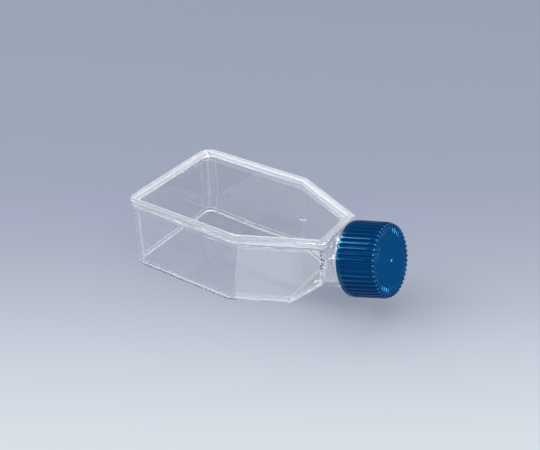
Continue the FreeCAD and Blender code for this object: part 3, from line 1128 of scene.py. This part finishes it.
    def notes(self, row: Row, share: float) -> dict[str, float]:
        """What each point keeps for the tree and the finish.

        Args:
            row: the point's row.
            share: where it is between two grooves.

        Returns:
            Depth of the groove and height of the tooth in metres, and how much painted shade the point gets
            as the cap's side, painted highlight as a tip and painted light as the low part of a groove.
        """
        nib = row.radius < self.nib_radius and row.station > self.length
        tip = self.glint_dot_start < row.station < self.glint_dot_end and row.radius > self.ring_outer + self.glint_dot_margin
        skirt = self.bore < row.radius and row.station < self.band
        from_gap = min(share, 1 - share)
        # side, tip and low carry painted shade, painted highlight and painted light to the finish
        return {"groove": row.groove * MM, "tooth": row.tooth * MM,
                "side": float(row.groove > 0 or skirt),
                "tip": 1.0 if nib else self.glint_dot_tone * (tip and abs(share - 0.5) < self.glint_dot_share),
                "low": min(row.groove / self.groove, 1.0) * max(
                    0.0, 1 - max(0.0, from_gap - self.groove_light_start) / self.groove_light_share)}

    def blank(self) -> bpy.types.Mesh:
        """Turn the outline round the axis, with its notes on each point.

        Returns:
            The mesh, before its grooves and teeth.
        """
        shape = bmesh.new()
        layers = {name: shape.verts.layers.float.new(name)
                  for name in ("groove", "tooth", "side", "tip", "low")}
        shares = list(self.columns) + [1 - share for share in reversed(self.columns[1:-1])]
        angles = [math.tau * (rib + share) / self.ribs for rib in range(self.ribs) for share in shares]
        rings = []
        for row in self.inside() + self.outside() + self.face():
            ring = []
            for angle in angles[:1] if row.radius == 0 else angles:
                point = shape.verts.new((row.radius * MM * math.cos(angle), row.radius * MM * math.sin(angle),
                                         row.station * MM))
                for name, value in self.notes(row, angle / math.tau * self.ribs % 1).items():
                    point[layers[name]] = value
                ring.append(point)
            rings.append(ring)
        for below, above in zip(rings, rings[1:]):
            for here in range(len(angles)):
                after = (here + 1) % len(angles)
                corners = [below[here % len(below)], below[after % len(below)],
                           above[after % len(above)], above[here % len(above)]]
                shape.faces.new(list(dict.fromkeys(corners)))
        bmesh.ops.recalc_face_normals(shape, faces=shape.faces)
        mesh = bpy.data.meshes.new("cap_blank")
        shape.to_mesh(mesh)
        shape.free()
        return mesh

    def recipe(self) -> Recipe:
        """Tree that presses the grooves in and raises the teeth.

        Returns:
            The tree, with the numbers and shares that it works from as inputs.
        """
        tree = Recipe("RibsAndTeeth", {
            "Count": int, "Floor share": float, "Crest share": float, "Crest round": float,
            "Tooth share": float, "Material": bpy.types.Material})
        point = tree.add("GeometryNodeInputPosition").outputs[0]
        split = tree.add("ShaderNodeSeparateXYZ", inputs={0: point})
        x, y = (Signal(tree, split.outputs[axis]) for axis in ("X", "Y"))
        turns = y.heading(x) * (1 / math.tau) * tree.given("Count")
        share = (turns + self.turns_ahead).fraction()
        from_gap = share.smaller(1 - share)
        floor, roundness = tree.given("Floor share"), tree.given("Crest round")
        flank = from_gap.step(floor, tree.given("Crest share"))
        from_crest = from_gap.fall(floor, 0.5)
        rib = flank * (1 - roundness) + (1 - from_crest * from_crest) * roundness
        tooth = from_gap.fall(0.0, tree.given("Tooth share"))
        sideways = tree.add("ShaderNodeCombineXYZ", inputs={0: x, 1: y}).outputs[0]
        inward = tree.vector("NORMALIZE", {0: sideways})
        pressed = tree.vector("SCALE", {0: inward, "Scale": (rib - 1) * tree.note("groove")})
        raised = tree.add("ShaderNodeCombineXYZ", inputs={2: tooth * tree.note("tooth")}).outputs[0]
        moved = tree.add("GeometryNodeSetPosition", inputs={
            "Geometry": tree.given("Geometry"), "Offset": tree.vector("ADD", {0: pressed, 1: raised})})
        tree.close(moved.outputs[0])
        return tree

    def build(self, finish: bpy.types.Material, dull: bpy.types.Material) -> None:
        """Make the cap and put it on the neck.

        Args:
            finish: its plastic.
            dull: the same plastic without shine, for its face and its grooves.
        """
        cap = self.recipe().run("ribbed_cap", self.blank(), {
            "Count": self.ribs, "Floor share": self.floor_share, "Crest share": self.crest_share,
            "Crest round": self.crest_round, "Tooth share": self.tooth_share,
            "Material": finish}, self.crease)
        cap.data.materials.append(dull)
        low = cap.data.attributes["low"].data
        for face in cap.data.polygons:
            radius = face.center.xy.length / MM
            flat = face.normal.z > self.level_normal and self.nib_radius < radius < self.ring_outer
            sunk = max(low[corner].value for corner in face.vertices) > self.low_least
            face.material_index = int(flat or sunk)
        cap.data.transform(neck_axes())
        hand_over(cap, Body.CAP, self.node)


class Facing(Enum):
    """Which way a thread stands off its wall."""

    OUTWARD = 1
    INWARD = -1


@dataclass
class ScrewThread:
    """One helical thread with flat flanks, in millimetres.

    It starts this far from the cap's open end, and its foot is sunk in the wall. Over a share of its
    length, fade, it shrinks at both ends to end_size.
    """

    name: str
    root: float
    facing: Facing
    start: float
    turns: float
    height: float = 0.75
    base: float = 1.35
    crown: float = 0.6
    pitch: float = 3.0
    sunk: float = 0.06
    fade: float = 0.035
    end_size: float = 0.08
    steps: int = 72
    crease: float = 25.0

    def recipe(self) -> Recipe:
        """Tree that sweeps the thread's section along its helix and shrinks both ends.

        Returns:
            The tree, with the thread's sizes as inputs.
        """
        tree = Recipe("ThreadHelix", {
            "Steps": int, "Turns": float, "Pitch": float, "Root": float, "Height": float, "Base": float,
            "Crown": float, "Fade": float, "End size": float, "Material": bpy.types.Material})
        root, turns, end_size = tree.given("Root"), tree.given("Turns"), tree.given("End size")
        helix = tree.add("GeometryNodeCurveSpiral", inputs={
            "Resolution": tree.given("Steps"), "Rotations": turns, "Start Radius": root, "End Radius": root,
            "Height": turns * tree.given("Pitch"), "Reverse": False}).outputs[0]
        upright = tree.add("GeometryNodeSetCurveNormal", {"mode": "Z_UP"}, {0: helix}).outputs[0]
        along = Signal(tree, tree.add("GeometryNodeSplineParameter").outputs["Factor"])
        size = along.smaller(1 - along).step(0.0, tree.given("Fade")) * (1 - end_size) + end_size
        height = tree.given("Height")
        half_base, half_crown = tree.given("Base") * 0.5, tree.given("Crown") * 0.5
        corners = [tree.add("ShaderNodeCombineXYZ", inputs={0: level, 1: side}).outputs[0]
                   for level, side in ((0.0, half_base * -1), (height, half_crown * -1),
                                       (height, half_crown), (0.0, half_base))]
        section = tree.add("GeometryNodeCurvePrimitiveQuadrilateral", {"mode": "POINTS"}, {
            f"Point {number}": corner for number, corner in enumerate(corners, start=1)}).outputs[0]
        swept = tree.add("GeometryNodeCurveToMesh", inputs={
            "Curve": upright, "Profile Curve": section, "Scale": size, "Fill Caps": True}).outputs[0]
        tree.close(swept)
        return tree

    def build(self, finish: bpy.types.Material, body: Body, slot: Slot) -> None:
        """Make the thread and put it on its wall.

        Args:
            finish: its plastic.
            body: what it moves with.
            slot: not used.
        """
        outward = self.facing.value
        thread = self.recipe().run(self.name, bpy.data.meshes.new(self.name), {
            "Steps": self.steps, "Turns": self.turns, "Pitch": self.pitch * MM,
            "Root": (self.root - outward * self.sunk) * MM,
            "Height": -outward * (self.height + self.sunk) * MM, "Base": self.base * MM,
            "Crown": self.crown * MM, "Fade": self.fade, "End size": self.end_size,
            "Material": finish}, self.crease)
        thread.data.transform(neck_axes() @ Matrix.Translation((0, 0, self.start * MM)))
        shape = bmesh.new()
        shape.from_mesh(thread.data)
        bmesh.ops.recalc_face_normals(shape, faces=shape.faces)
        shape.to_mesh(thread.data)
        shape.free()
        hand_over(thread, body)


def main() -> None:
    """Build everything in order."""
    logging.basicConfig(level=logging.INFO, format="%(name)s: %(message)s")
    Studio().build()
    polystyrene, weld, edges = ClearPolystyrene(), RimFrostAndPaintedHighlights(), PaintedEdgeHighlightsAndShade()
    clear = polystyrene.dress("clear_plastic")
    # The plate's finish paints highlights on the rim; the tray's paints highlights and shade along its edges.
    welded = polystyrene.dress("welded_plastic_painted_rim", [weld.share])
    moulded = polystyrene.dress("moulded_plastic_painted_edges", [weld.share, edges.share], edges.shadow)
    # The cap's finishes paint shade on its side, light in its grooves and highlights on its tips and nib.
    blue = CapPolyethylene().dress("blue_plastic_painted_light_and_shade")
    dull_blue = CapPolyethylene(shine=0.0).dress("dull_blue_plastic_painted_light_and_shade")
    Tray().build(moulded)
    StackingPlate().build(welded)
    RibbedCap().build(blue, dull_blue)
    neck_thread = ScrewThread("neck_thread", root=10.3, facing=Facing.OUTWARD, start=1.2, turns=3.0)
    neck_thread.build(clear, Body.FLASK, Slot.TRAY)
    cap_thread = ScrewThread("cap_thread", root=11.4, facing=Facing.INWARD, start=2.7, turns=2.6)
    cap_thread.build(blue, Body.CAP, Slot.CAP)


if __name__ == "__main__":
    main()
